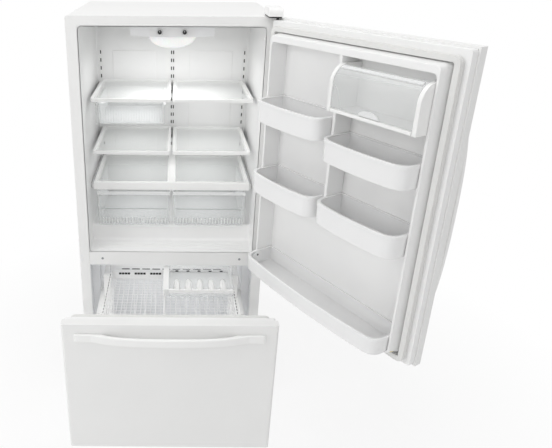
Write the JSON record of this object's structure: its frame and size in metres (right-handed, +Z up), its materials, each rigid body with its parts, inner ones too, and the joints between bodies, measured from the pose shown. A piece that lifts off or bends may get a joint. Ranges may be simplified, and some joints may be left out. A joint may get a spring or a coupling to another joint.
{
  "type": "bottom freezer refrigerator",
  "caption": "Upright refrigerator with a hinged fresh-food door above a pull-out freezer drawer, door open and drawer out, with shelves, bins, crispers and wire basket.",
  "frame": {"origin": "centre of the footprint at rest, with door and drawer open, on the floor", "axes": "+Z up, -Y out of the cabinet's front, +X to the right of someone facing the front, the door's hinge side"},
  "size_m": [1.1804, 1.2742, 1.703],
  "materials": {
    "white_paint": "semi-gloss enamel",
    "white_plastic": "moulded, satin",
    "grey_plastic": "moulded, satin",
    "freezer_plastic": "thermoformed, satin",
    "clear_plastic": "clear moulded",
    "white_rubber": "soft vinyl",
    "black_plastic": "moulded",
    "foam": "rigid foam",
    "zinc": "zinc plated sheet",
    "black_steel": "black enamel",
    "aluminium": "mill finish",
    "board": "pressed board",
    "white_wire": "vinyl coated"
  },
  "bodies": {
    "cabinet": {"cabinet_wrapper": "white_paint", "cabinet_foam": "foam", "fridge_liner": "white_plastic", "freezer_liner": "freezer_plastic", "mullion_rail": "white_paint", "base_frame": "zinc", "compressor": "black_steel", "condenser_coil": "black_steel", "machine_cover": "board", "toe_grille": "white_plastic", "evaporator_coil": "aluminium", "evaporator_cover": "white_plastic", "top_hinge": "black_steel", "hinge_cover": "white_plastic", "center_hinge": "zinc", "control_console": "grey_plastic", "light_lens": "white_plastic", "shelf_track_left": "white_paint", "shelf_track_center": "white_paint", "shelf_track_right": "white_paint", "shelf_upper_left": "white_plastic", "shelf_upper_right": "white_plastic", "shelf_lower_left": "white_plastic", "shelf_lower_right": "white_plastic", "crisper_cover": "white_plastic", "slide_rail_left": "zinc", "slide_rail_right": "zinc"},
    "door": {"door_panel": "white_paint", "door_foam": "foam", "door_liner": "white_plastic", "door_gasket": "white_rubber", "door_handle": "white_plastic", "dairy_box": "white_plastic", "bin_upper_left": "white_plastic", "bin_upper_right": "white_plastic", "bin_lower_left": "white_plastic", "bin_lower_right": "white_plastic", "bin_bottom": "white_plastic"},
    "drawer": {"drawer_panel": "white_paint", "drawer_foam": "foam", "drawer_liner": "white_plastic", "drawer_gasket": "white_rubber", "drawer_handle": "white_plastic", "drawer_frame": "zinc", "wire_basket": "white_wire"},
    "condenser_fan": {"condenser_fan": "black_plastic"},
    "fridge_knob": {"fridge_knob": "black_plastic"},
    "freezer_knob": {"freezer_knob": "black_plastic"},
    "light_switch": {"light_switch": "white_plastic"},
    "deli_drawer": {"deli_drawer": "clear_plastic"},
    "crisper_left": {"crisper_left": "clear_plastic"},
    "crisper_right": {"crisper_right": "clear_plastic"},
    "front_leg_left": {"front_leg_left": "black_plastic"},
    "front_leg_right": {"front_leg_right": "black_plastic"},
    "rear_roller_left": {"rear_roller_left": "black_plastic"},
    "rear_roller_right": {"rear_roller_right": "black_plastic"},
    "dairy_cover": {"dairy_cover": "clear_plastic"},
    "freezer_tray": {"freezer_tray": "white_plastic"},
    "slide_mid_left": {"slide_mid_left": "zinc"},
    "slide_mid_right": {"slide_mid_right": "zinc"}
  },
  "joints": [
    {"name": "door_swing", "type": "hinge", "parent": "cabinet", "child": "door", "pos_m": [0.14678, -0.00394, 0.713], "axis": [0, 0, 1], "range_deg": [-121, 7]},
    {"name": "drawer_slide", "type": "slide", "parent": "cabinet", "child": "drawer", "axis": [0, -1, 0], "range_m": [-0.362, 0.058]},
    {"name": "slide_mid_left_slide", "type": "slide", "parent": "cabinet", "child": "slide_mid_left", "axis": [0, -1, 0], "range_m": [-0.181, 0.029]},
    {"name": "slide_mid_right_slide", "type": "slide", "parent": "cabinet", "child": "slide_mid_right", "axis": [0, -1, 0], "range_m": [-0.181, 0.029]},
    {"name": "crisper_left_slide", "type": "slide", "parent": "cabinet", "child": "crisper_left", "axis": [0, -1, 0], "range_m": [0, 0.28]},
    {"name": "crisper_right_slide", "type": "slide", "parent": "cabinet", "child": "crisper_right", "axis": [0, -1, 0], "range_m": [0, 0.28]},
    {"name": "deli_drawer_slide", "type": "slide", "parent": "cabinet", "child": "deli_drawer", "axis": [0, -1, 0], "range_m": [0, 0.25]},
    {"name": "freezer_tray_slide", "type": "slide", "parent": "drawer", "child": "freezer_tray", "axis": [0, -1, 0], "range_m": [0, 0.15]},
    {"name": "dairy_cover_flip", "type": "hinge", "parent": "door", "child": "dairy_cover", "pos_m": [0.35795, -0.48546, 1.568], "axis": [-0.515, 0.8572, 0], "range_deg": [0, 65]},
    {"name": "fridge_knob_turn", "type": "hinge", "parent": "cabinet", "child": "fridge_knob", "pos_m": [-0.26022, 0.13306, 1.602], "axis": [0, 1, 0], "range_deg": [-140, 140]},
    {"name": "freezer_knob_turn", "type": "hinge", "parent": "cabinet", "child": "freezer_knob", "pos_m": [-0.16822, 0.13306, 1.602], "axis": [0, 1, 0], "range_deg": [-140, 140]},
    {"name": "light_switch_press", "type": "slide", "parent": "cabinet", "child": "light_switch", "axis": [1, 0, 0], "range_m": [0, 0.003], "stiffness_N_per_m": 400, "springref_m": -0.001},
    {"name": "condenser_fan_spin", "type": "hinge", "parent": "cabinet", "child": "condenser_fan", "pos_m": [-0.15422, 0.54206, 0.18], "axis": [0, 1, 0], "continuous": true},
    {"name": "front_leg_left_turn", "type": "hinge", "parent": "cabinet", "child": "front_leg_left", "pos_m": [-0.56122, 0.08906, 0.02], "axis": [0, 0, 1], "continuous": true},
    {"name": "front_leg_right_turn", "type": "hinge", "parent": "cabinet", "child": "front_leg_right", "pos_m": [0.13278, 0.08906, 0.02], "axis": [0, 0, 1], "continuous": true},
    {"name": "rear_roller_left_roll", "type": "hinge", "parent": "cabinet", "child": "rear_roller_left", "pos_m": [-0.55922, 0.58706, 0.02], "axis": [1, 0, 0], "continuous": true},
    {"name": "rear_roller_right_roll", "type": "hinge", "parent": "cabinet", "child": "rear_roller_right", "pos_m": [0.13078, 0.58706, 0.02], "axis": [1, 0, 0], "continuous": true}
  ],
  "couplings": [
    {"joint": "slide_mid_left_slide", "follows": "drawer_slide", "ratio": 0.5},
    {"joint": "slide_mid_right_slide", "follows": "drawer_slide", "ratio": 0.5}
  ]
}
